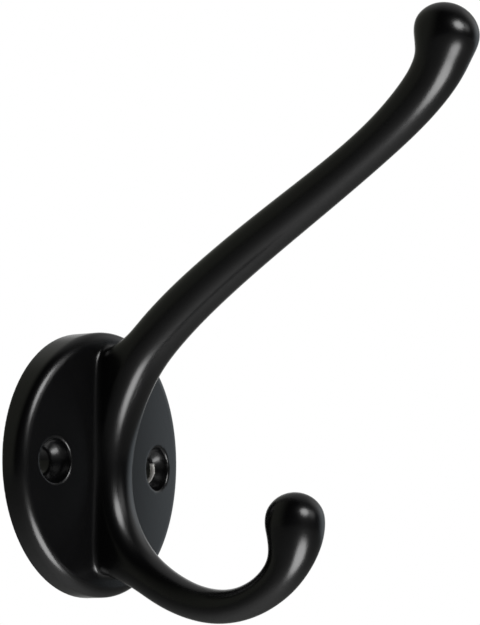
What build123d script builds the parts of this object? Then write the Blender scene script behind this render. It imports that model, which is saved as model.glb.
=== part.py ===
"""Double hat and coat hook, cast in one piece with its round wall plate.

Millimetres. The origin is the centre of the plate's back face, which lies on the wall.
+Z is up, +X is to the right seen from the room, and the hook stands out along -Y.
The casting is symmetric about the plane X = 0, where the two halves of its die met.
"""
from build123d import *
from math import cos, pi, radians, sin, sqrt, tan
from typing import NamedTuple
import os

# Round wall plate
PLATE_RADIUS = 21.0
PLATE_THICKNESS = 5.6        # at the middle of the crowned front face
CROWN_RADIUS = 130.0         # the front face falls away to the left and right
FACE_LEAN = 1.9              # degrees: the plate is thicker at its top than at its foot
FRONT_EDGE_RADIUS = 1.75
BACK_EDGE_RADIUS = 0.4

# Countersunk screw holes, left and right of the stem
HOLE_OFFSET = 13.5           # from the middle of the plate to each hole
SCREW_HOLE_RADIUS = 2.1
SINK_RADIUS = 3.8            # at the mouth, on the front face
SINK_ANGLE = 82.0            # degrees, across the cone
SINK_LIP_RADIUS = 0.35

# Knobs: the place of each middle, reach being measured from the plate's front face
UPPER_REACH = 62.9
UPPER_RISE = 62.45           # above the middle of the plate
UPPER_LEAN = 41.0            # degrees that the arm leans away from the wall as it ends
UPPER_KNOB_WIDTH = 10.1
UPPER_KNOB_DEPTH = 10.6
UPPER_DOME = 4.6             # height of the rounded end, from the knob's middle
LOWER_REACH = 34.9
LOWER_RISE = -10.05
LOWER_LEAN = -5.0
LOWER_KNOB_WIDTH = 9.5
LOWER_KNOB_DEPTH = 9.15
LOWER_DOME = 4.4

# Stem and arms
FLANK_SQUARENESS = 4.0       # how straight the stem's sides run back to the plate
FULL_FLANK = 1.7             # sides are fully square where a section is this lopsided
ROOT_RADIUS = 1.0            # hollow where the stem grows out of the plate
PARTING_RIDGE = 0.004        # faint slope at the die's parting line, as a tangent

# Fineness of the skin
SECTIONS_PER_STRETCH = 3     # from one station to the next
STEPS_PER_HALF = 12          # round the left and the right half of a section
DOME_LATITUDES = (22, 43, 61, 76, 86)


class Station(NamedTuple):
    """A section of the hook, placed by the middle of its front."""

    out: float               # from the plate's front face
    up: float
    width: float
    depth: float             # front to back, square to the run of the hook
    foot: tuple = None       # out and up of the section's back, where the plate swallows it


class Knob(NamedTuple):
    """The rounded end of an arm. Its front is the side that the stem's front runs on to."""

    out: float               # of its middle, from the plate's front face
    up: float
    lean: float              # degrees, away from the wall
    width: float
    depth: float
    dome: float
    front_side: int          # 1 where its front looks away from the wall, or -1

    @property
    def rise(self):
        """The direction in which the arm ends."""
        return Vector(0, -sin(radians(self.lean)), cos(radians(self.lean)))

    @property
    def station(self):
        """The last section of the arm, through the knob's middle."""
        half_depth = self.front_side * self.depth / 2
        return Station(self.out + half_depth * cos(radians(self.lean)),
                       self.up - half_depth * sin(radians(self.lean)), self.width, self.depth)


UPPER_KNOB = Knob(UPPER_REACH, UPPER_RISE, UPPER_LEAN, UPPER_KNOB_WIDTH, UPPER_KNOB_DEPTH, UPPER_DOME, 1)
LOWER_KNOB = Knob(LOWER_REACH, LOWER_RISE, LOWER_LEAN, LOWER_KNOB_WIDTH, LOWER_KNOB_DEPTH, LOWER_DOME, -1)


STATIONS = [
    UPPER_KNOB.station,
    Station(UPPER_REACH + 1.9, UPPER_RISE - 6.8, 8.5, 7.95),
    Station(UPPER_REACH - 2.2, UPPER_RISE - 11.4, 7.6, 7.0),
    Station(UPPER_REACH - 10.9, UPPER_RISE - 18.0, 7.15, 6.2),
    Station(UPPER_REACH - 23.7, UPPER_RISE - 26.2, 7.3, 6.45),
    Station(21.6, 25.0, 8.1, 7.05),
    Station(11.8, 17.35, 8.6, 7.2),
    Station(8.95, 14.45, 8.9, 7.2, foot=(2.9, 19.3)),
    Station(7.0, 11.6, 8.7, 7.4, foot=(-1.0, 17.0)),
    Station(5.3, 8.3, 8.5, 7.0, foot=(-3.0, 12.0)),
    Station(3.15, 0.0, 7.6, 6.2, foot=(-3.5, 0.2)),
    Station(3.7, -7.2, 7.7, 6.2, foot=(-3.2, -11.2)),
    Station(5.35, -11.0, 7.8, 6.1, foot=(-1.6, -16.2)),
    Station(7.95, -14.25, 7.6, 6.0, foot=(2.7, -18.6)),
    Station(11.6, -17.0, 7.4, 5.75),
    Station(21.1, -20.2, 6.65, 5.3),
    Station(LOWER_REACH - 7.95, LOWER_RISE - 9.0, 6.65, 5.2),
    Station(LOWER_REACH - 4.2, LOWER_RISE - 5.05, 7.6, 7.0),
    LOWER_KNOB.station,
]


def side_place(out, up):
    """A point on the plane of symmetry, from its distance off the plate's face and its height."""
    return Vector(0, -PLATE_THICKNESS - out, up)


def rail_through(points):
    """The smooth curve down through the points, which leaves and meets the knobs at their lean."""
    return Spline(*points, tangents=[-UPPER_KNOB.rise, LOWER_KNOB.rise], tangent_scalars=[1, 1])


def station_points(run, front, station):
    """Front, widest and back point of a section, square to the run where it has no foot."""
    normal = run.tangent_at(run.param_at_point(front)).cross(Vector(1, 0, 0)).normalized()
    back = front - normal * station.depth
    if station.foot:
        back = side_place(*station.foot)
        normal = (front - back).normalized()
    widest = front - normal * (station.depth / 2) + Vector(station.width / 2, 0, 0)
    return front, widest, back


def densify(points):
    """Evenly spaced places on the smooth curve through the points."""
    rail = rail_through(points)
    marks = [rail.param_at_point(point) for point in points]
    places = []
    for start, end in zip(marks, marks[1:]):
        for step in range(SECTIONS_PER_STRETCH):
            places.append(rail.position_at(start + (end - start) * step / SECTIONS_PER_STRETCH))
    return places + [points[-1]]


def outline(centre, forward, half_width, front_reach, back_reach, squareness):
    """Closed section: half an ellipse in front of the centre, half a superellipse behind."""
    marks = [step / STEPS_PER_HALF for step in range(STEPS_PER_HALF + 1)]
    ridge = forward * PARTING_RIDGE
    halves = []
    for side in (1, -1):
        across = Vector(side, 0, 0)
        points = []
        for mark in marks:
            aside, along = cos(pi * (mark - 0.5)), sin(pi * (mark - 0.5))
            reach, power = (front_reach, 2) if along >= 0 else (back_reach, squareness)
            distance = ((aside / half_width) ** power + abs(along / reach) ** power) ** (-1 / power)
            points.append(centre + (across * aside + forward * along) * distance)
        ends = [(across + ridge) * back_reach * pi, (ridge - across) * front_reach * pi]
        halves.append(Edge.make_spline(points, ends, parameters=marks, scale=False))
    return Wire(halves)


def section(front, widest, back):
    """Outline through three rail points, with squarer sides where it is deep behind."""
    forward = (front - back).normalized()
    back_reach = (widest - back).dot(forward)
    centre = back + forward * back_reach
    front_reach = (front - centre).length
    lopsidedness = back_reach / front_reach
    share = min(1, max(0, (lopsidedness - 1) / (FULL_FLANK - 1)))
    squareness = 2 + (FLANK_SQUARENESS - 2) * share
    return outline(centre, forward, widest.X, front_reach, back_reach, squareness)


def dome_rings(knob, front, back):
    """Rings that close an arm with a rounded end on its last section."""
    centre = (front + back) * 0.5
    forward = (front - back).normalized()
    rings = []
    for latitude in DOME_LATITUDES:
        ring_centre = centre + knob.rise * knob.dome * sin(radians(latitude))
        half_width, reach = [size / 2 * cos(radians(latitude)) for size in (knob.width, knob.depth)]
        rings.append(outline(ring_centre, forward, half_width, reach, reach, 2))
    return rings


def build_hook():
    """Both arms and the stem, as one smooth skin over rails down its front, side and back."""
    fronts = [side_place(station.out, station.up) for station in STATIONS]
    run = rail_through(fronts)
    rails = zip(*[station_points(run, *pair) for pair in zip(fronts, STATIONS)])
    front_rail, side_rail, back_rail = [densify(points) for points in rails]
    sections = [section(*points) for points in zip(front_rail, side_rail, back_rail)]
    upper_end = dome_rings(UPPER_KNOB, front_rail[0], back_rail[0])
    lower_end = dome_rings(LOWER_KNOB, front_rail[-1], back_rail[-1])
    return Solid.make_loft(upper_end[::-1] + sections + lower_end)


def face_centre():
    """The frame on the crowned front face: its Z points back, into the plate."""
    return Pos(0, -PLATE_THICKNESS, 0) * Rot(X=FACE_LEAN)


def build_plate():
    """The round plate, crowned from side to side, with its front edge well rounded."""
    disc = Rot(X=90) * Cylinder(PLATE_RADIUS, 2 * PLATE_THICKNESS,
                                align=(Align.CENTER, Align.CENTER, Align.MIN))
    crown = face_centre() * Pos(0, CROWN_RADIUS, 0) * Cylinder(CROWN_RADIUS, 4 * PLATE_RADIUS)
    plate = disc & crown
    back_face = plate.faces().sort_by(Axis.Y)[-1]
    plate = fillet(back_face.edges(), BACK_EDGE_RADIUS)
    front_face = plate.faces().sort_by(Axis.Y)[0]
    return fillet(front_face.edges(), FRONT_EDGE_RADIUS)


def screw_hole(side):
    """What a countersunk hole takes out of the plate, left (-1) or right (1) of the stem."""
    crown_drop = CROWN_RADIUS - sqrt(CROWN_RADIUS ** 2 - HOLE_OFFSET ** 2)
    slope = tan(radians(SINK_ANGLE / 2))
    depth = (SINK_RADIUS - SCREW_HOLE_RADIUS) / slope
    overrun = PLATE_THICKNESS
    cone = Cone(SCREW_HOLE_RADIUS, SINK_RADIUS + overrun * slope, depth + overrun,
                align=(Align.CENTER, Align.CENTER, Align.MIN))
    mouth = Pos(side * HOLE_OFFSET, crown_drop - PLATE_THICKNESS, 0) * Rot(X=90)
    return mouth * (Pos(0, 0, -depth) * cone + Cylinder(SCREW_HOLE_RADIUS, 4 * PLATE_THICKNESS))


def build_drilled_plate():
    """The plate with both screw holes, their mouths softened."""
    plate = build_plate() - screw_hole(-1) - screw_hole(1)
    front_face = plate.faces().sort_by(Axis.Y)[0]
    lips = [edge for mouth in front_face.inner_wires() for edge in mouth.edges()]
    return fillet(lips, SINK_LIP_RADIUS)


def build_casting():
    """Plate and hook as one solid, with the hollow of the mould round the stem's root."""
    plate = build_drilled_plate()
    hook = build_hook()
    casting = plate + hook
    root = new_edges(plate, hook, combined=casting)
    return fillet(root, ROOT_RADIUS)


os.makedirs("parts", exist_ok=True)
export_step(build_casting(), "parts/coat_hook.step")
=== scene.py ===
"""The looks of a double hat and coat hook: a cast skin with a satin black coat, in a studio.

The CAD model is faceted finely enough to build from, but a glossy coat shows each facet. So the
casting is made again here, as an even net of small quads that lies on the true surface. Its
stations and radii are the CAD model's, but for a few at the screw holes and the upper knob that
the photograph put right later. The net is worked out in millimetres and scaled at the end.
"""
import logging
import math
from dataclasses import dataclass, field
from enum import Enum
from typing import Optional, Sequence, Union

import bpy
import numpy as np
from mathutils import Matrix, Vector
from mathutils.bvhtree import BVHTree


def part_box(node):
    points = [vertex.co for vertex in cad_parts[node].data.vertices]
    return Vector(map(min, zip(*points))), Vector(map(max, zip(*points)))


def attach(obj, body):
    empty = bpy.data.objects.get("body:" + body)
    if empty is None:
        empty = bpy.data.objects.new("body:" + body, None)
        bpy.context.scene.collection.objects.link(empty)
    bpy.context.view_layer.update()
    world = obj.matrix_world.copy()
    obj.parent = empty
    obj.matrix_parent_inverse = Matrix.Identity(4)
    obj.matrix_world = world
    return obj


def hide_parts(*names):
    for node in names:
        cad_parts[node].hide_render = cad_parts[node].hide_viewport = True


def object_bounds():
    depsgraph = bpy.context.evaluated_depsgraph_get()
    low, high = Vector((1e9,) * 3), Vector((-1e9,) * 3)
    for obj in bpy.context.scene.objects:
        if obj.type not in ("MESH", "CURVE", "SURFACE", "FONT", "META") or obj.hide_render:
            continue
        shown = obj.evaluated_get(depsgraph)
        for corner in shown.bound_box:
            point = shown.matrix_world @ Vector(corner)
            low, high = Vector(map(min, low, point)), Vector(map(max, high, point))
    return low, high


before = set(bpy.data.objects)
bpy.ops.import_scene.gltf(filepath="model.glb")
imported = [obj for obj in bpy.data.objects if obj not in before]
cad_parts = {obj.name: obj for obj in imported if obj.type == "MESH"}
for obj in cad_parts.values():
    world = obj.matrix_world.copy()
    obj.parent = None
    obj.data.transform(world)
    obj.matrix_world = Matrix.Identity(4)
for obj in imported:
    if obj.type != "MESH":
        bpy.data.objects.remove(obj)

CAD_BOX = [list(corner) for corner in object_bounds()]
METRES = 0.001              # in a millimetre
PLATE_THICKNESS = 5.6       # at the middle of the plate's crowned front face, in millimetres
SPECK = 1e-12               # a length below which a vector has no direction
ELLIPSE = 2.0               # the squareness of a plain ellipse, where more is squarer
NOISE_MIDDLE = 0.5
WHITE = (1.0, 1.0, 1.0, 1.0)
MIX_FACTOR, MIX_FIRST, MIX_SECOND, MIX_RESULT = 0, 6, 7, 2     # a Mix node's sockets for colours
LOG = logging.getLogger("coat_hook")

Colour = tuple[float, float, float, float]
Triple = tuple[float, float, float]


def unit(vectors: np.ndarray) -> np.ndarray:
    """Vectors of length one, along the same directions.

    Args:
        vectors: rows of X, Y, Z.

    Returns:
        The same rows, each divided by its length.
    """
    lengths = np.linalg.norm(vectors, axis=-1, keepdims=True)
    return vectors / np.maximum(lengths, SPECK)


def rounded_inside(first: np.ndarray, second: np.ndarray, radius: float) -> np.ndarray:
    """Distance to what two solids share, with the edge between them rounded off.

    Args:
        first: signed distances to one solid, negative inside it.
        second: signed distances to the other.
        radius: of the rounded edge.

    Returns:
        Signed distances to the shared solid.
    """
    reach = np.hypot(np.maximum(first + radius, 0), np.maximum(second + radius, 0))
    return np.minimum(np.maximum(first, second), -radius) + reach


def filleted_union(first: np.ndarray, second: np.ndarray, radius: float) -> np.ndarray:
    """Distance to two solids joined, with a hollow fillet in the corner between them.

    Args:
        first: signed distances to one solid, negative inside it.
        second: signed distances to the other.
        radius: of the hollow.

    Returns:
        Signed distances to the joined solid.
    """
    return -rounded_inside(-first, -second, radius)


class SmoothCurve:
    """A cubic curve through points, smooth in slope and bend, with chosen end slopes."""

    def __init__(self, marks: np.ndarray, points: np.ndarray,
                 end_slopes: Optional[Sequence[Sequence[float]]] = None) -> None:
        """Find the slope at each point.

        Args:
            marks: the curve's parameter at each point, rising.
            points: one row, of any shape, for each mark.
            end_slopes: slope at the first and at the last point, or None for ends
                that don't bend.
        """
        self.marks, self.points = marks, points
        self.row_shape = (-1, *[1] * (points.ndim - 1))
        gaps = np.diff(marks)
        count = len(marks)
        rows = np.zeros((count, count))
        wanted = np.zeros_like(points)
        steps = np.diff(points, axis=0) / gaps.reshape(self.row_shape)
        for i in range(1, count - 1):
            before, after = gaps[i - 1], gaps[i]
            rows[i, i - 1:i + 2] = after, 2 * (before + after), before
            wanted[i] = 3 * (after * steps[i - 1] + before * steps[i])
        if end_slopes is None:
            rows[0, :2], rows[-1, -2:] = (2, 1), (1, 2)
            wanted[0], wanted[-1] = 3 * steps[0], 3 * steps[-1]
        else:
            rows[0, 0] = rows[-1, -1] = 1
            wanted[0], wanted[-1] = end_slopes
        flat = np.linalg.solve(rows, wanted.reshape(count, -1))
        self.slopes = flat.reshape(points.shape)

    def at(self, places: np.ndarray) -> np.ndarray:
        """Points of the curve.

        Args:
            places: parameters between the first mark and the last.

        Returns:
            One row for each place.
        """
        span = np.clip(np.searchsorted(self.marks, places) - 1, 0, len(self.marks) - 2)
        gap = self.marks[span + 1] - self.marks[span]
        share = (places - self.marks[span]) / gap
        s, gap = share.reshape(self.row_shape), gap.reshape(self.row_shape)
        start, end = self.points[span], self.points[span + 1]
        leaving, arriving = self.slopes[span], self.slopes[span + 1]
        return (start * (1 + 2 * s) * (1 - s) ** 2 + end * s ** 2 * (3 - 2 * s)
                + gap * (leaving * s * (1 - s) ** 2 - arriving * s ** 2 * (1 - s)))


def running_length(points: np.ndarray) -> np.ndarray:
    """Length of a chain of points up to each of them."""
    steps = np.linalg.norm(np.diff(points, axis=0), axis=-1)
    return np.concatenate([[0.0], np.cumsum(steps)])


@dataclass(frozen=True)
class Station:
    """A section of the hook, placed by the middle of its front.

    Millimetres. Out is measured from the plate's front face, and foot is the out and up of the
    section's back where the plate swallows it.
    """

    out: float
    up: float
    width: float
    depth: float
    foot: Optional[tuple[float, float]] = None


class FrontSide(Enum):
    """Which way the front of an arm's end looks: the front that the stem's front runs on to."""

    OUTWARD = 1
    TO_WALL = -1


@dataclass(frozen=True)
class Knob:
    """The rounded end of an arm, placed by its middle. Millimetres, and degrees of lean."""

    out: float
    up: float
    lean: float
    width: float
    depth: float
    dome: float
    front: FrontSide

    @property
    def rise(self) -> np.ndarray:
        """The direction in which the arm ends."""
        lean = math.radians(self.lean)
        return np.array((0.0, -math.sin(lean), math.cos(lean)))

    @property
    def station(self) -> Station:
        """The last section of the arm, through the knob's middle."""
        lean, half_depth = math.radians(self.lean), self.front.value * self.depth / 2
        out = self.out + half_depth * math.cos(lean)
        return Station(out, self.up - half_depth * math.sin(lean), self.width, self.depth)


@dataclass
class HookSkin:
    """Both arms and the stem: a skin over rails down the hook's front, sides and back.

    Millimetres, and degrees of latitude. A section whose back reaches full_flank times as far
    from its middle as its front does has flanks as straight as flank_squareness makes them.
    Reach is how far from the skin distances are worked out.
    """

    upper: Knob = Knob(out=62.9, up=62.45, lean=31.0, width=10.1, depth=10.3, dome=4.6,
                       front=FrontSide.OUTWARD)
    lower: Knob = Knob(out=34.9, up=-10.05, lean=-5.0, width=9.5, depth=9.15, dome=4.4,
                       front=FrontSide.TO_WALL)
    flank_squareness: float = 4.0
    full_flank: float = 1.7
    sections_per_stretch: int = 3
    steps_per_stretch: int = 60
    rings_per_section: int = 8
    places_round: int = 144
    latitudes: tuple[float, ...] = (22, 43, 61, 76, 86, 90)
    pole_share: float = 1e-4
    reach: float = 6.0
    stations: list[Station] = field(init=False)
    tree: BVHTree = field(init=False)

    def __post_init__(self) -> None:
        """Fill in the stations, from the upper knob down to the lower one, and their skin."""
        upper, lower = self.upper, self.lower
        self.stations = [   # each by its out, up, width and depth
            upper.station,
            Station(upper.out + 1.9, upper.up - 6.8, 8.7, 8.0),
            Station(upper.out - 2.2, upper.up - 11.4, 7.7, 7.0),
            Station(upper.out - 10.9, upper.up - 18.0, 7.15, 6.2),
            Station(upper.out - 23.7, upper.up - 26.2, 7.3, 6.45),
            Station(21.6, 25.0, 8.1, 7.05),
            Station(11.8, 17.35, 8.6, 7.2),
            Station(8.95, 14.45, 8.9, 7.2, foot=(2.9, 19.3)),
            Station(7.0, 11.6, 8.7, 7.4, foot=(-1.0, 17.0)),
            Station(5.3, 8.3, 8.5, 7.0, foot=(-3.0, 12.0)),
            Station(3.15, 0.0, 7.6, 6.2, foot=(-3.5, 0.2)),
            Station(3.7, -7.2, 7.7, 6.2, foot=(-3.2, -11.2)),
            Station(5.35, -11.0, 7.8, 6.1, foot=(-1.6, -16.2)),
            Station(7.95, -14.25, 7.6, 6.0, foot=(2.7, -18.6)),
            Station(11.6, -17.0, 7.4, 5.75),
            Station(21.1, -20.2, 6.65, 5.3),
            Station(lower.out - 7.95, lower.up - 9.0, 6.65, 5.2),
            Station(lower.out - 4.2, lower.up - 5.05, 7.6, 7.0),
            lower.station,
        ]
        self.tree = BVHTree.FromPolygons(*self.skin())

    @staticmethod
    def side_place(out: float, up: float) -> np.ndarray:
        """A point on the plane of symmetry, from its distance off the plate's face and height."""
        return np.array((0.0, -PLATE_THICKNESS - out, up))

    def rail(self, points: np.ndarray) -> SmoothCurve:
        """A curve down through points of the hook, which meets both knobs at their lean."""
        return SmoothCurve(running_length(points), points, [-self.upper.rise, self.lower.rise])

    def densify(self, points: np.ndarray) -> np.ndarray:
        """Places between the stations, evenly spaced along the rail through them.

        Args:
            points: the rail's point at each station.

        Returns:
            The places, station points included.
        """
        rail = self.rail(points)
        fine = np.linspace(0, 1, self.steps_per_stretch, endpoint=False)
        marks = np.concatenate([a + (b - a) * fine for a, b in zip(rail.marks, rail.marks[1:])])
        marks = np.append(marks, rail.marks[-1])
        lengths = running_length(rail.at(marks))
        at_station = lengths[::self.steps_per_stretch]
        count = (len(points) - 1) * self.sections_per_stretch + 1
        share = np.arange(count) / self.sections_per_stretch
        wanted = np.interp(share, np.arange(len(points)), at_station)
        return rail.at(np.interp(wanted, lengths, marks))

    def rails(self) -> tuple[np.ndarray, np.ndarray, np.ndarray]:
        """Front, widest and back point of each section of the hook."""
        fronts = np.array([self.side_place(s.out, s.up) for s in self.stations])
        run = self.rail(fronts)
        normals = unit(np.cross(run.slopes, (1, 0, 0)))
        backs, sides = [], []
        for station, front, normal in zip(self.stations, fronts, normals):
            back = front - normal * station.depth
            if station.foot:
                back = self.side_place(*station.foot)
                normal = unit(front - back)
            backs.append(back)
            sides.append(front - normal * station.depth / 2 + (station.width / 2, 0, 0))
        return tuple(self.densify(np.array(points)) for points in (fronts, sides, backs))

    def outlines(self, centre: np.ndarray, forward: np.ndarray, half_width: np.ndarray,
                 front: np.ndarray, back: np.ndarray, squareness: np.ndarray) -> np.ndarray:
        """Closed sections: half an ellipse in front, half a superellipse behind.

        Args:
            centre: middle of each section, where it is widest.
            forward: direction to each section's front.
            half_width: from the middle to the side.
            front: from the middle to the front.
            back: from the middle to the back.
            squareness: ELLIPSE for an ellipse behind, more for straighter sides.

        Returns:
            For each section, its places from the back round the right side.
        """
        turn = 2 * math.pi * np.arange(self.places_round) / self.places_round - math.pi / 2
        aside, along = np.cos(turn), np.sin(turn)
        in_front = along >= 0
        reach = np.where(in_front, front[:, None], back[:, None])
        power = np.where(in_front, ELLIPSE, squareness[:, None])
        closeness = np.abs(aside / half_width[:, None]) ** power + np.abs(along / reach) ** power
        distance = closeness ** (-1 / power)
        across = np.array((1.0, 0, 0))
        return (centre[:, None] + across * (aside * distance)[..., None]
                + forward[:, None] * (along * distance)[..., None])

    def dome(self, knob: Knob, front: np.ndarray, back: np.ndarray) -> np.ndarray:
        """Rings that close an arm with a rounded end.

        Args:
            knob: the end to close.
            front: front point of the arm's last section.
            back: its back point.

        Returns:
            The rings, from the knob's middle to its pole.
        """
        rise = np.sin(np.radians(self.latitudes))
        shrink = np.maximum(np.cos(np.radians(self.latitudes)), self.pole_share)
        centres = (front + back) / 2 + knob.rise * knob.dome * rise[:, None]
        forward = np.tile(unit(front - back), (len(rise), 1))
        half_width, reach = knob.width / 2 * shrink, knob.depth / 2 * shrink
        squareness = np.full(len(rise), ELLIPSE)
        return self.outlines(centres, forward, half_width, reach, reach, squareness)

    def skin(self) -> tuple[list[list[float]], list[list[int]]]:
        """The closed skin as a fine mesh, for measuring distances to it.

        Returns:
            Vertices and faces.
        """
        front, side, back = self.rails()
        forward = unit(front - back)
        back_reach = np.sum((side - back) * forward, axis=1)
        centre = back + forward * back_reach[:, None]
        front_reach = np.linalg.norm(front - centre, axis=1)
        share = np.clip((back_reach / front_reach - 1) / (self.full_flank - 1), 0, 1)
        squareness = ELLIPSE + (self.flank_squareness - ELLIPSE) * share
        body = self.outlines(centre, forward, side[:, 0], front_reach, back_reach, squareness)
        upper_end = self.dome(self.upper, front[0], back[0])
        lower_end = self.dome(self.lower, front[-1], back[-1])
        rings = np.concatenate([upper_end[::-1], body, lower_end])
        gaps = np.linalg.norm(np.diff(rings, axis=0), axis=-1).mean(axis=1)
        marks = np.concatenate([[0.0], np.cumsum(gaps)])
        stretches = len(rings) - 1
        fine = np.linspace(0, stretches, stretches * self.rings_per_section + 1)
        rings = SmoothCurve(marks, rings).at(np.interp(fine, np.arange(len(rings)), marks))
        count, around = rings.shape[:2]
        here = np.arange(count * around).reshape(count, around)
        beside = np.roll(here, -1, axis=1)
        quads = np.stack([here[:-1], beside[:-1], beside[1:], here[1:]], axis=-1)
        return rings.reshape(-1, 3).tolist(), quads.reshape(-1, 4).tolist()

    def distance(self, points: np.ndarray) -> np.ndarray:
        """Signed distance to the skin, exact within reach of it and capped beyond.

        Args:
            points: rows of X, Y, Z in millimetres.

        Returns:
            One distance for each point, negative inside.
        """
        distances = np.full(len(points), self.reach)
        nearest = self.tree.find_nearest
        for i, point in enumerate(points.tolist()):
            place, normal, _, gap = nearest(point, self.reach)
            if place is not None:
                inside = normal.dot(Vector(point) - place) < 0
                distances[i] = -gap if inside else gap
        return distances


@dataclass(frozen=True)
class ScrewHoles:
    """Two countersunk holes, left and right of the stem. Millimetres and degrees.

    The well is the short straight wall between a hole's mouth and its cone. The hollow, the lip
    and the waist are the radii that round the cone's top, the mouth and the cone's foot.
    """

    offset: float = 13.5
    radius: float = 2.0
    sink_radius: float = 3.5
    sink_angle: float = 82.0
    well: float = 0.85
    hollow: float = 0.5
    lip: float = 0.2
    waist: float = 0.2

    def distance(self, points: np.ndarray, mouth: float) -> np.ndarray:
        """Signed distance to what the holes take away.

        Args:
            points: rows of X, Y, Z.
            mouth: Y of the countersinks' mouths.

        Returns:
            One distance for each point, negative in a hole.
        """
        from_axis = np.hypot(np.abs(points[:, 0]) - self.offset, points[:, 2])
        half_angle = math.radians(self.sink_angle / 2)
        cone_radius = self.sink_radius + (mouth + self.well - points[:, 1]) * math.tan(half_angle)
        cone = (from_axis - cone_radius) * math.cos(half_angle)
        sink = rounded_inside(from_axis - self.sink_radius, cone, self.hollow)
        return filleted_union(from_axis - self.radius, sink, self.waist)


@dataclass(frozen=True)
class WallPlate:
    """The round plate, crowned from side to side and thicker at its top.

    Millimetres, and degrees that its front face leans. Crown is the radius of that face.
    """

    radius: float = 21.0
    thickness: float = PLATE_THICKNESS
    crown: float = 130.0
    lean: float = 1.9
    front_edge: float = 1.75
    back_edge: float = 0.4
    holes: ScrewHoles = ScrewHoles()

    def distance(self, points: np.ndarray) -> np.ndarray:
        """Signed distance to the drilled plate.

        Args:
            points: rows of X, Y, Z.

        Returns:
            One distance for each point, negative inside.
        """
        lean = math.radians(self.lean)
        crown_axis = np.array((0, -math.sin(lean), math.cos(lean)))
        to_centre = self.crown * np.array((0, math.cos(lean), math.sin(lean)))
        offset = points - (to_centre - (0, self.thickness, 0))
        offset = offset - crown_axis * (offset @ crown_axis)[:, None]
        front = np.linalg.norm(offset, axis=1) - self.crown
        rim = np.hypot(points[:, 0], points[:, 2]) - self.radius
        disc = rounded_inside(rim, front, self.front_edge)
        disc = rounded_inside(disc, points[:, 1], self.back_edge)
        crown_drop = self.crown - math.sqrt(self.crown ** 2 - self.holes.offset ** 2)
        taken = self.holes.distance(points, crown_drop - self.thickness)
        return rounded_inside(disc, -taken, self.holes.lip)


def layer_pairs(axis: int) -> tuple[tuple[slice, ...], tuple[slice, ...]]:
    """Slices that pair each layer of a block with the next one along an axis."""
    before, after = [slice(None)] * 3, [slice(None)] * 3
    before[axis], after[axis] = slice(None, -1), slice(1, None)
    return tuple(before), tuple(after)


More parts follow.
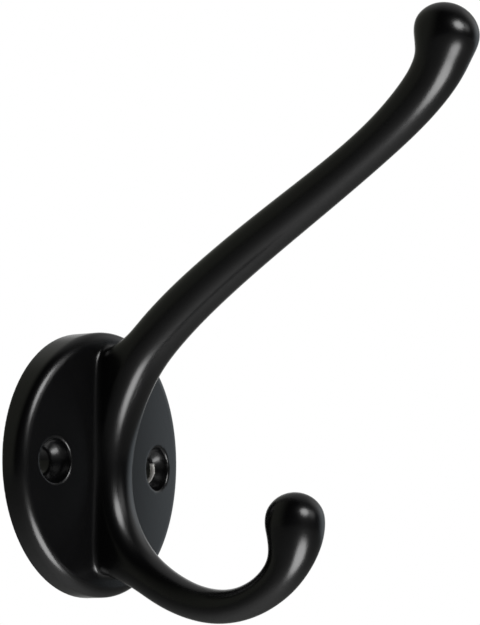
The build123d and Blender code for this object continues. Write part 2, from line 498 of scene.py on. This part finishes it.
@dataclass
class SurfaceNet:
    """An even net of quads on the surface of a solid that is known by its distances.

    Millimetres. The band is how far from the surface each finer grid is worked out exactly, in
    its own steps, and relax_share is how far a vertex goes to the middle of its neighbours.
    """

    solid: "Casting"
    low: np.ndarray
    high: np.ndarray
    spacing: float = 0.34
    halvings: int = 2
    band: float = 1.9
    relaxings: int = 3
    relax_share: float = 0.6

    def __post_init__(self) -> None:
        """Lay out a grid whose coarse steps fit the box, with a step to spare all round."""
        coarse = self.spacing * 2 ** self.halvings
        self.corner = self.low - coarse
        self.counts = np.ceil((self.high + coarse - self.corner) / coarse).astype(int) + 1

    def places(self, index: np.ndarray, step: float) -> np.ndarray:
        """Where grid points lie, from their whole-number places."""
        return self.corner + index * step

    def sample(self) -> np.ndarray:
        """Distances on the fine grid, exact near the surface and estimated elsewhere.

        Returns:
            A block of distances.
        """
        step = self.spacing * 2 ** self.halvings
        index = np.indices(self.counts).reshape(3, -1).T
        block = self.solid.distance(self.places(index, step)).reshape(self.counts)
        for _ in range(self.halvings):
            step /= 2
            block = self.halve(block)
            near = np.argwhere(np.abs(block) < self.band * step)
            block[tuple(near.T)] = self.solid.distance(self.places(near, step))
        return block

    @staticmethod
    def halve(block: np.ndarray) -> np.ndarray:
        """A block with a new layer midway between each two layers, on all three axes."""
        for axis in range(3):
            before, after = layer_pairs(axis)
            shape = list(block.shape)
            shape[axis] = 2 * shape[axis] - 1
            finer = np.empty(shape)
            even, odd = [slice(None)] * 3, [slice(None)] * 3
            even[axis], odd[axis] = slice(None, None, 2), slice(1, None, 2)
            finer[tuple(even)] = block
            finer[tuple(odd)] = (block[before] + block[after]) / 2
            block = finer
        return block

    def build(self) -> tuple[np.ndarray, np.ndarray]:
        """The net on the surface, evened out and laid exactly on it.

        Returns:
            Vertices and quads.
        """
        block = self.sample()
        inside = block < 0
        cell_shape = np.array(block.shape) - 1
        total, crossings = np.zeros((*cell_shape, 3)), np.zeros(cell_shape, int)
        quads_at = []
        for axis in range(3):
            before, after = layer_pairs(axis)
            starts = inside[before]
            edges = np.argwhere(starts != inside[after])
            along, aside, beyond = np.roll(np.eye(3, dtype=int), -axis, axis=0)
            first, last = block[tuple(edges.T)], block[tuple((edges + along).T)]
            cross = edges + along * (first / (first - last))[:, None]
            around = [edges - aside - beyond, edges - beyond, edges, edges - aside]
            for cells in around:
                where = tuple(cells.T)
                np.add.at(total, where, cross)
                np.add.at(crossings, where, 1)
            ring = np.stack([np.ravel_multi_index(cells.T, cell_shape) for cells in around], axis=1)
            outward = starts[tuple(edges.T)][:, None]
            quads_at.append(np.where(outward, ring, ring[:, ::-1]))
        used = np.flatnonzero(crossings.ravel())
        number = np.full(crossings.size, -1)
        number[used] = np.arange(len(used))
        mean = total.reshape(-1, 3)[used] / crossings.ravel()[used, None]
        quads = number[np.concatenate(quads_at)]
        return self.settle(self.places(mean, self.spacing), quads), quads

    def settle(self, vertices: np.ndarray, quads: np.ndarray) -> np.ndarray:
        """Even out the net along the surface, and lay it exactly on the surface.

        Args:
            vertices: rows of X, Y, Z near the surface.
            quads: four vertices each.

        Returns:
            The vertices in their final places.
        """
        ends = np.concatenate([quads[:, (i, (i + 1) % 4)] for i in range(4)])
        ends = np.unique(np.sort(ends, axis=1), axis=0)
        neighbours = np.bincount(ends.ravel(), minlength=len(vertices))[:, None]
        for _ in range(self.relaxings):
            normals = self.normals(vertices, quads)
            total = np.zeros_like(vertices)
            np.add.at(total, ends[:, 0], vertices[ends[:, 1]])
            np.add.at(total, ends[:, 1], vertices[ends[:, 0]])
            move = (total / neighbours - vertices) * self.relax_share
            move -= normals * np.sum(move * normals, axis=1, keepdims=True)
            vertices = vertices + move
            vertices = vertices - normals * self.solid.distance(vertices)[:, None]
        return vertices

    @staticmethod
    def normals(vertices: np.ndarray, quads: np.ndarray) -> np.ndarray:
        """Outward directions at the vertices, from the quads round them."""
        corners = vertices[quads]
        facing = np.cross(corners[:, 2] - corners[:, 0], corners[:, 3] - corners[:, 1])
        total = np.zeros_like(vertices)
        for corner in range(4):
            np.add.at(total, quads[:, corner], facing)
        return unit(total)


def add_object(name: str, data: bpy.types.ID) -> bpy.types.Object:
    """A new object in the scene, from its mesh, light or camera."""
    made = bpy.data.objects.new(name, data)
    bpy.context.scene.collection.objects.link(made)
    return made


def make_piece(name: str, vertices: np.ndarray, faces: np.ndarray) -> bpy.types.Object:
    """A smooth-shaded mesh object from vertices in millimetres.

    Args:
        name: of the object and its mesh.
        vertices: rows of X, Y, Z.
        faces: rows of vertex numbers.

    Returns:
        The new object, linked to the scene.
    """
    mesh = bpy.data.meshes.new(name)
    mesh.from_pydata((vertices * METRES).tolist(), [], faces.tolist())
    mesh.shade_smooth()
    mesh.validate()
    return add_object(name, mesh)


Value = Union["Strand", float, int]


class Strand:
    """A socket that carries a number, so that shader maths reads as plain arithmetic."""

    def __init__(self, board: "Board", socket: bpy.types.NodeSocket) -> None:
        """Wrap an output socket.

        Args:
            board: where new nodes go.
            socket: the output.
        """
        self.board, self.socket = board, socket

    def maths(self, operation: str, *values: Value) -> "Strand":
        """One Math node on plain numbers or strands."""
        inputs = dict(enumerate(values))
        return self.board.strand("ShaderNodeMath", {"operation": operation}, inputs)

    def __add__(self, other: Value) -> "Strand":
        """Sum."""
        return self.maths("ADD", self, other)

    def __sub__(self, other: Value) -> "Strand":
        """Difference."""
        return self.maths("SUBTRACT", self, other)

    def __rsub__(self, other: Value) -> "Strand":
        """Difference from a plain number."""
        return self.maths("SUBTRACT", other, self)

    def __mul__(self, other: Value) -> "Strand":
        """Product."""
        return self.maths("MULTIPLY", self, other)

    def __truediv__(self, other: Value) -> "Strand":
        """Quotient."""
        return self.maths("DIVIDE", self, other)

    def __rtruediv__(self, other: Value) -> "Strand":
        """Quotient of a plain number."""
        return self.maths("DIVIDE", other, self)

    __radd__ = __add__
    __rmul__ = __mul__

    def root(self) -> "Strand":
        """Square root."""
        return self.maths("SQRT", self)

    def clamped(self) -> "Strand":
        """The value kept between 0 and 1."""
        return self.maths("MINIMUM", self.maths("MAXIMUM", self, 0), 1)


class Board:
    """The nodes of one material or of the world."""

    def __init__(self, tree: bpy.types.NodeTree) -> None:
        """Start from an empty tree.

        Args:
            tree: the node tree, which is cleared.
        """
        self.tree = tree
        tree.nodes.clear()

    def node(self, kind: str, settings: Optional[dict] = None,
             inputs: Optional[dict] = None) -> bpy.types.Node:
        """Add a node.

        Args:
            kind: the node's type.
            settings: its properties, set before its sockets.
            inputs: values, sockets or strands for its sockets, by name or number.

        Returns:
            The node.
        """
        made = self.tree.nodes.new(kind)
        for name, value in (settings or {}).items():
            setattr(made, name, value)
        for name, value in (inputs or {}).items():
            if isinstance(value, Strand):
                value = value.socket
            if isinstance(value, bpy.types.NodeSocket):
                self.tree.links.new(value, made.inputs[name])
            else:
                made.inputs[name].default_value = value
        return made

    def strand(self, kind: str, settings: Optional[dict] = None, inputs: Optional[dict] = None,
               output: Union[str, int] = 0) -> Strand:
        """Add a node and take one of its outputs as a strand."""
        return Strand(self, self.node(kind, settings, inputs).outputs[output])

    def mix(self, share: Strand, first: Colour, second: Colour) -> bpy.types.NodeSocket:
        """A colour that goes from the first to the second as the share goes from 0 to 1."""
        inputs = {MIX_FACTOR: share, MIX_FIRST: first, MIX_SECOND: second}
        return self.node("ShaderNodeMix", {"data_type": "RGBA"}, inputs).outputs[MIX_RESULT]


def new_material(name: str) -> tuple[bpy.types.Material, Board]:
    """A material, and its board, still empty."""
    material = bpy.data.materials.new(name)
    material.use_nodes = True
    return material, Board(material.node_tree)


def blend(share: Value, first: Value, second: Value) -> Value:
    """A value that goes from the first to the second as the share goes from 0 to 1."""
    return first + (second - first) * share


@dataclass(frozen=True)
class BareEdge:
    """Cast metal laid bare along part of a round edge: the foot of the right hole's cone.

    Metres. The coat is gone within reach of the edge, give or take half the raggedness, below
    top and on the side away from the stem. Each fade is a share of the length that it softens.
    """

    centre: Triple = (0.0135, -0.0023, 0.0)
    radius: float = 0.0021
    reach: float = 0.00036
    reach_fade: float = 0.2
    raggedness: float = 0.0005
    lump: float = 0.0005
    top: float = 0.0011
    top_fade: float = 0.3
    side_start: float = 0.2
    side_fade: float = 0.3
    colour: Colour = (0.9, 0.88, 0.85, 1.0)
    roughness: float = 0.5

    def share(self, board: Board, place: bpy.types.NodeSocket, lumps: Strand) -> Strand:
        """How bare the metal is, from 0 to 1.

        Args:
            board: the material's nodes.
            place: position on the piece.
            lumps: noise from 0 to 1 that makes the flaked coat's edge ragged.

        Returns:
            The strand.
        """
        parted = board.node("ShaderNodeSeparateXYZ", inputs={0: place}).outputs
        across, depth, height = (
            Strand(board, socket) - middle for socket, middle in zip(parted, self.centre))
        from_axis = (across * across + height * height).root()
        off_edge = from_axis - self.radius
        from_edge = (off_edge * off_edge + depth * depth).root()
        ragged_reach = (lumps - NOISE_MIDDLE) * self.raggedness + self.reach
        near = (ragged_reach - from_edge) / (self.reach_fade * self.reach)
        below = (self.top - height) / (self.top_fade * self.top)
        far_side = (across + self.side_start * self.radius) / (self.side_fade * self.radius)
        return near.clamped() * below.clamped() * far_side.clamped()


@dataclass(frozen=True)
class SatinBlackCoat:
    """Satin black lacquer over a cast skin. Lengths in metres.

    The peel is the lacquer's own faint waves, the grain is the casting's, which shows through,
    and the clouds are patches a little duller or glossier than the rest.
    """

    colour: Colour = (0.002, 0.002, 0.0022, 1.0)
    roughness: float = 0.25
    roughness_spread: float = 0.06
    cloud_size: float = 0.0096
    peel_size: float = 0.0016
    peel_height: float = 0.000006
    grain_size: float = 0.00028
    grain_height: float = 0.0000012
    bare: BareEdge = BareEdge()

    @staticmethod
    def noise(board: Board, place: bpy.types.NodeSocket, size: float, octaves: int) -> Strand:
        """Noise from 0 to 1 whose lumps are about as wide as size."""
        return board.strand("ShaderNodeTexNoise", {"noise_dimensions": "3D"}, {
            "Vector": place, "Scale": 1 / size, "Detail": octaves, "Roughness": 0.5})

    def build(self) -> bpy.types.Material:
        """The finished material."""
        material, board = new_material("satin_black_coat")
        place = board.node("ShaderNodeTexCoord").outputs["Object"]
        peel = self.noise(board, place, self.peel_size, octaves=2)
        grain = self.noise(board, place, self.grain_size, octaves=3)
        cloud = self.noise(board, place, self.cloud_size, octaves=3)
        lumps = self.noise(board, place, self.bare.lump, octaves=2)
        bare = self.bare.share(board, place, lumps)
        coat_roughness = self.roughness + (cloud - NOISE_MIDDLE) * self.roughness_spread
        height = peel * self.peel_height + grain * self.grain_height
        bump = board.node("ShaderNodeBump", inputs={
            "Strength": 1.0, "Distance": 1.0, "Height": height})
        shader = board.node("ShaderNodeBsdfPrincipled", inputs={
            "Base Color": board.mix(bare, self.colour, self.bare.colour),
            "Metallic": bare,
            "Roughness": blend(bare, coat_roughness, self.bare.roughness),
            "Normal": bump.outputs[0]})
        board.node("ShaderNodeOutputMaterial", inputs={"Surface": shader.outputs[0]})
        return material


@dataclass
class Casting:
    """Plate and hook as one body, with a hollow of radius root round the stem's root."""

    plate: WallPlate = field(default_factory=WallPlate)
    hook: HookSkin = field(default_factory=HookSkin)
    root: float = 1.0
    coat: SatinBlackCoat = SatinBlackCoat()

    def distance(self, points: np.ndarray) -> np.ndarray:
        """Signed distance to the casting.

        Args:
            points: rows of X, Y, Z.

        Returns:
            One distance for each point, negative inside.
        """
        return filleted_union(self.plate.distance(points), self.hook.distance(points), self.root)

    def build(self) -> bpy.types.Object:
        """The casting in its black coat, in place of the faceted CAD node.

        The faceted model is a hair smaller than the true surface, so the net is kept to its box.

        Returns:
            The finished piece.
        """
        low, high = (np.array(corner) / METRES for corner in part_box("coat_hook"))
        vertices, quads = SurfaceNet(self, low, high).build()
        piece = make_piece("cast_hook", np.clip(vertices, low, high), quads)
        piece.data.materials.append(self.coat.build())
        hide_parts("coat_hook")
        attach(piece, "root")
        LOG.info("%s: %d vertices, %d quads", piece.name, len(vertices), len(quads))
        return piece


@dataclass(frozen=True)
class Softbox:
    """An oval studio light. Metres.

    Direction points to the light from what it faces. Glow is how bright its face is, where 1 is
    the brightness of the white background.
    """

    name: str
    direction: Triple
    width: float
    height: float
    glow: float
    distance: float = 0.7

    def build(self, aim: Vector) -> None:
        """Put the light in the scene, out of the camera's sight.

        Args:
            aim: the point that it faces.
        """
        lamp = bpy.data.lights.new(self.name, "AREA")
        lamp.shape, lamp.size, lamp.size_y = "ELLIPSE", self.width, self.height
        area = self.width * self.height * math.pi / 4
        lamp.energy = self.glow * math.pi * area
        box = add_object(self.name, lamp)
        away = Vector(self.direction).normalized()
        box.location = aim + away * self.distance
        box.rotation_euler = away.to_track_quat("Z", "Y").to_euler()
        box.visible_camera = False


@dataclass(frozen=True)
class Wall:
    """A round patch of the studio's surround, as seen from the hook.

    Its core is fully bright and it fades out at its edge, both in degrees from its direction.
    """

    direction: Triple
    colour: Colour
    glow: float
    core: float
    edge: float

    def share(self, board: Board, towards: bpy.types.NodeSocket) -> Strand:
        """How much of the patch a direction meets, from 0 outside it to 1 in its core.

        Args:
            board: the nodes of the surround or the floor.
            towards: the direction looked in, from the hook.

        Returns:
            The strand.
        """
        axis = Vector(self.direction).normalized()
        along = board.strand("ShaderNodeVectorMath", {"operation": "DOT_PRODUCT"},
                             {0: towards, 1: axis}, "Value")
        outer, inner = math.cos(math.radians(self.edge)), math.cos(math.radians(self.core))
        return ((along - outer) / (inner - outer)).clamped()

    def light(self, board: Board, towards: bpy.types.NodeSocket) -> bpy.types.NodeSocket:
        """The patch as light from the surround.

        Args:
            board: the nodes of the surround.
            towards: the direction looked in, from the hook.

        Returns:
            The shader's output.
        """
        strength = self.share(board, towards) * self.glow
        return board.node("ShaderNodeBackground", inputs={
            "Color": self.colour, "Strength": strength}).outputs[0]


@dataclass(frozen=True)
class Viewpoint:
    """The photograph's viewpoint. Angles in degrees, lengths in metres, lens in mm."""

    azimuth: float = -55.318
    elevation: float = -6.040
    roll: float = -0.253
    distance: float = 0.620
    aim: Triple = (0.02935, -0.01018, 0.02638)
    lens: float = 216.87
    sensor: float = 36.0
    clip_start: float = 0.01

    def build(self) -> None:
        """Make the camera and give it to the scene."""
        camera = bpy.data.cameras.new("photo_view")
        camera.lens, camera.sensor_width, camera.sensor_fit = self.lens, self.sensor, "AUTO"
        camera.clip_start = self.clip_start
        viewer = add_object("photo_view", camera)
        turn = Matrix.Rotation(math.radians(self.azimuth), 4, "Z")
        tilt = Matrix.Rotation(math.radians(90 - self.elevation), 4, "X")
        lean = Matrix.Rotation(math.radians(self.roll), 4, "Z")
        back = Matrix.Translation((0, 0, self.distance))
        viewer.matrix_world = Matrix.Translation(self.aim) @ turn @ tilt @ lean @ back
        bpy.context.scene.camera = viewer


@dataclass(frozen=True)
class Studio:
    """Pale floor, three softboxes, the dim room round them and a white backdrop. Metres."""

    floor_level: float = -0.6
    floor_size: float = 8.0
    floor_shade: float = 0.7
    floor_glow: float = 0.5
    key: Softbox = Softbox("key_softbox", (-0.150, -0.856, 0.495),
                           width=0.37, height=0.33, glow=9.0)
    low: Softbox = Softbox("low_softbox", (-0.146, -0.696, -0.703),
                           width=0.42, height=0.40, glow=8.5, distance=0.62)
    bounce: Softbox = Softbox("floor_softbox", (0.0, 0.0, 1.0),
                              width=0.7, height=0.7, glow=0.7, distance=0.35)
    walls: tuple[Wall, ...] = (     # each by its direction, colour, glow, core and edge
        Wall((-0.266, 0.940, 0.212), (0.97, 1.0, 0.86, 1.0), 0.19, 40, 70),  # behind, on the left
        Wall((0.970, -0.232, 0.067), (0.84, 0.93, 1.0, 1.0), 0.56, 6, 28),   # window on the right
        Wall((0.836, -0.299, 0.460), WHITE, 0.4, 6, 26),                     # above that window
        Wall((0.305, -0.874, 0.379), WHITE, 1.6, 3, 15),                     # beside the key light
        Wall((-0.032, -0.883, -0.468), WHITE, 1.0, 3, 18),                   # above the low light
        Wall((0.615, 0.156, 0.773), WHITE, 0.3, 12, 45),                     # ceiling
    )
    backdrop: Wall = Wall((0.818, 0.566, 0.105), WHITE, glow=1.0, core=6, edge=28)

    def build(self) -> None:
        """Make the floor, the surround and the lights."""
        self.build_floor()
        self.build_surround()
        middle = (Vector(CAD_BOX[0]) + Vector(CAD_BOX[1])) / 2
        for box in (self.key, self.low):
            box.build(middle)
        self.bounce.build(Vector((0, 0, self.floor_level)))

    def seen(self, board: Board, towards: bpy.types.NodeSocket) -> Strand:
        """How much of the pale background a ray meets.

        The camera meets all of it. A shiny or clear surface meets what lies behind the hook.

        Args:
            board: the nodes of the floor or the surround.
            towards: the direction looked in, from the hook.

        Returns:
            The strand, from 0 to 1.
        """
        path = board.node("ShaderNodeLightPath").outputs
        camera, glossy, clear = (
            Strand(board, path[f"Is {kind} Ray"]) for kind in ("Camera", "Glossy", "Transmission"))
        return (camera + (glossy + clear) * self.backdrop.share(board, towards)).clamped()

    def build_floor(self) -> None:
        """A wide level floor, well below the hook, which looks pale and takes its shadow."""
        half = self.floor_size / 2
        mesh = bpy.data.meshes.new("floor")
        corners = [(-half, -half), (half, -half), (half, half), (-half, half)]
        mesh.from_pydata([(x, y, self.floor_level) for x, y in corners], [], [(0, 1, 2, 3)])
        floor = add_object("floor", mesh)
        material, board = new_material("pale_floor")
        shade = (self.floor_shade, self.floor_shade, self.floor_shade, 1.0)
        lit = board.node("ShaderNodeBsdfDiffuse", inputs={"Color": shade})
        place = board.node("ShaderNodeNewGeometry").outputs["Position"]
        towards = board.node("ShaderNodeVectorMath", {"operation": "NORMALIZE"}, {0: place})
        glow = self.seen(board, towards.outputs[0]) * self.floor_glow
        pale = board.node("ShaderNodeEmission", inputs={"Color": WHITE, "Strength": glow})
        shown = board.node("ShaderNodeAddShader", inputs={0: lit.outputs[0], 1: pale.outputs[0]})
        board.node("ShaderNodeOutputMaterial", inputs={"Surface": shown.outputs[0]})
        mesh.materials.append(material)

    def build_surround(self) -> None:
        """The room that the coat mirrors, with the white backdrop over it where that is seen."""
        world = bpy.data.worlds.new("surround")
        bpy.context.scene.world = world
        world.use_nodes = True
        board = Board(world.node_tree)
        towards = board.node("ShaderNodeTexCoord").outputs["Generated"]
        room, *others = (wall.light(board, towards) for wall in self.walls)
        for light in others:
            room = board.node("ShaderNodeAddShader", inputs={0: room, 1: light}).outputs[0]
        white = board.node("ShaderNodeBackground", inputs={
            "Color": WHITE, "Strength": self.backdrop.glow})
        shown = board.node("ShaderNodeMixShader", inputs={
            0: self.seen(board, towards), 1: room, 2: white.outputs[0]})
        board.node("ShaderNodeOutputWorld", inputs={"Surface": shown.outputs[0]})


def main() -> None:
    """Build the hook, the studio and the camera, and set the Standard view transform."""
    logging.basicConfig(level=logging.INFO, format="%(name)s: %(message)s")
    Casting().build()
    Studio().build()
    Viewpoint().build()
    bpy.context.scene.view_settings.view_transform = "Standard"


if __name__ == "__main__":
    main()
